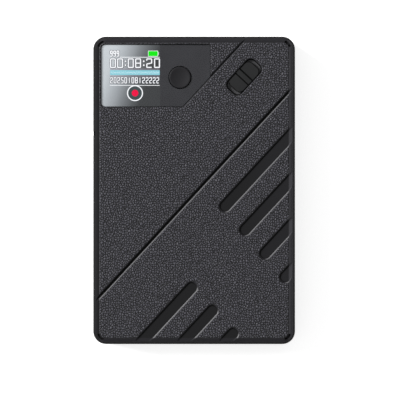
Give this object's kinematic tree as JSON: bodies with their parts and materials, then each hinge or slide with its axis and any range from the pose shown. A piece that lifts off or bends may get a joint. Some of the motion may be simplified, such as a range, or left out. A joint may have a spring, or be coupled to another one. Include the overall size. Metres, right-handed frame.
{
  "type": "handheld voice recorder",
  "caption": "Flat card-shaped voice recorder with a grained case, diagonal grooves, a corner window with a small screen and press button, and a diagonal slide switch.",
  "frame": {"origin": "centre of the back face, the recorder lying on its back", "axes": "+Z out of the face, +Y towards the window end, +X to the right as the face is read"},
  "size_m": [0.063, 0.096, 0.0102],
  "materials": {
    "case_plastic": "leather-like moulded grain, black",
    "rear_plastic": "fine satin texture, black",
    "window_clear": "smooth smoked acrylic",
    "adhesive": "black double-sided tape",
    "foam": "black closed-cell foam",
    "screen_glass": "screen glass",
    "backlight": "white diffuser",
    "inner_plastic": "plain black moulding",
    "flex": "amber flexible film",
    "button_plastic": "smooth satin black",
    "knob_plastic": "smooth satin black",
    "steel": "tin-plated sheet",
    "stainless": "bright stainless",
    "board": "green solder mask",
    "chip": "moulded epoxy",
    "crystal_can": "bright can",
    "passive": "ceramic",
    "mesh": "woven dust mesh",
    "rubber": "black silicone",
    "pouch": "laminated foil pouch",
    "white_plastic": "natural nylon",
    "lead_black": "PVC insulation",
    "lead_red": "PVC insulation",
    "screw_steel": "black zinc"
  },
  "bodies": {
    "case": {"front_shell": "case_plastic", "rear_cover": "rear_plastic", "display_window": "window_clear", "window_tape": "adhesive", "display_gasket": "foam", "display_glass": "screen_glass", "display_backlight": "backlight", "display_bracket": "inner_plastic", "display_flex": "flex", "press_switch_base": "inner_plastic", "press_switch_cover": "steel", "press_switch_dome": "stainless", "slide_switch_base": "inner_plastic", "slide_switch_cover": "steel", "port_shell": "stainless", "port_tongue": "inner_plastic", "microphone_mesh": "mesh", "microphone_boot": "rubber", "microphone_capsule": "crystal_can", "main_board": "board", "board_passives": "passive", "board_screws": "screw_steel", "battery_cell": "pouch", "battery_guard_board": "board", "battery_pad": "adhesive", "battery_foam": "foam", "battery_socket": "white_plastic", "battery_plug": "white_plastic", "case_screws": "screw_steel", "processor_chip": "chip", "flash_memory_chip": "chip", "charging_chip": "chip", "clock_crystal": "crystal_can", "battery_lead_black": "lead_black", "battery_lead_red": "lead_red"},
    "button": {"record_button": "button_plastic", "press_switch_stem": "inner_plastic"},
    "slider": {"slide_knob": "knob_plastic", "slide_retainer": "inner_plastic", "slide_switch_lever": "white_plastic"}
  },
  "joints": [
    {"name": "button_press", "type": "slide", "parent": "case", "child": "button", "axis": [0, 0, -1], "range_m": [0, 0.0003], "stiffness_N_per_m": 400, "springref_m": -0.0005, "deforming": ["press_switch_dome"]},
    {"name": "knob_slide", "type": "slide", "parent": "case", "child": "slider", "axis": [0.6788, 0.7343, 0], "range_m": [-0.0011, 0.0011]}
  ]
}
